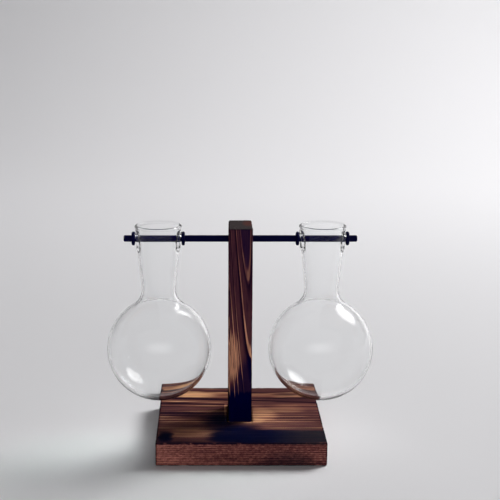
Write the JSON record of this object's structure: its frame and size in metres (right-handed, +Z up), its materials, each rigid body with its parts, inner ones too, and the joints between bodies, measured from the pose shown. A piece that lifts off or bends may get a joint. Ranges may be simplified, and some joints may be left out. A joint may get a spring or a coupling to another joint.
{
  "type": "hanging bulb vase stand",
  "caption": "Round glass bulb vases hung by pierced necks on a slim rod through an upright wooden post on a board base, for stems standing in water.",
  "frame": {"origin": "centre of the base board's underside, on the surface that it stands on", "axes": "+X along the rod, +Y from the front to the back, +Z up along the post"},
  "size_m": [0.2036, 0.126, 0.1683],
  "materials": {
    "base_wood": "scorched and oiled pine, brushed along the grain",
    "post_wood": "darker scorched and oiled pine",
    "black_rod": "satin black paint on steel",
    "rubber_ring": "matt black rubber",
    "clear_glass": "clear blown glass, fire-polished rim and holes",
    "zinc_screw": "zinc-plated"
  },
  "bodies": {
    "stand": {"base_board": "base_wood", "upright_post": "post_wood", "front_screw": "zinc_screw", "rear_screw": "zinc_screw"},
    "rod": {"hanging_rod": "black_rod"},
    "left_vase": {"left_vase": "clear_glass"},
    "left_inner_ring": {"left_inner_ring": "rubber_ring"},
    "left_outer_ring": {"left_outer_ring": "rubber_ring"},
    "right_vase": {"right_vase": "clear_glass"},
    "right_inner_ring": {"right_inner_ring": "rubber_ring"},
    "right_outer_ring": {"right_outer_ring": "rubber_ring"}
  },
  "joints": [
    {"name": "rod_slide", "type": "slide", "parent": "stand", "child": "rod", "axis": [1, 0, 0], "range_m": [-0.012, 0.012]},
    {"name": "left_vase_swing", "type": "hinge", "parent": "rod", "child": "left_vase", "pos_m": [-0.062, 0, 0.15726], "axis": [1, 0, 0], "continuous": true},
    {"name": "left_inner_ring_slide", "type": "slide", "parent": "rod", "child": "left_inner_ring", "axis": [1, 0, 0], "range_m": [0, 0.02]},
    {"name": "left_outer_ring_slide", "type": "slide", "parent": "rod", "child": "left_outer_ring", "axis": [-1, 0, 0], "range_m": [0, 0.005]},
    {"name": "right_vase_swing", "type": "hinge", "parent": "rod", "child": "right_vase", "pos_m": [0.062, 0, 0.15726], "axis": [1, 0, 0], "continuous": true},
    {"name": "right_inner_ring_slide", "type": "slide", "parent": "rod", "child": "right_inner_ring", "axis": [-1, 0, 0], "range_m": [0, 0.02]},
    {"name": "right_outer_ring_slide", "type": "slide", "parent": "rod", "child": "right_outer_ring", "axis": [1, 0, 0], "range_m": [0, 0.005]}
  ]
}
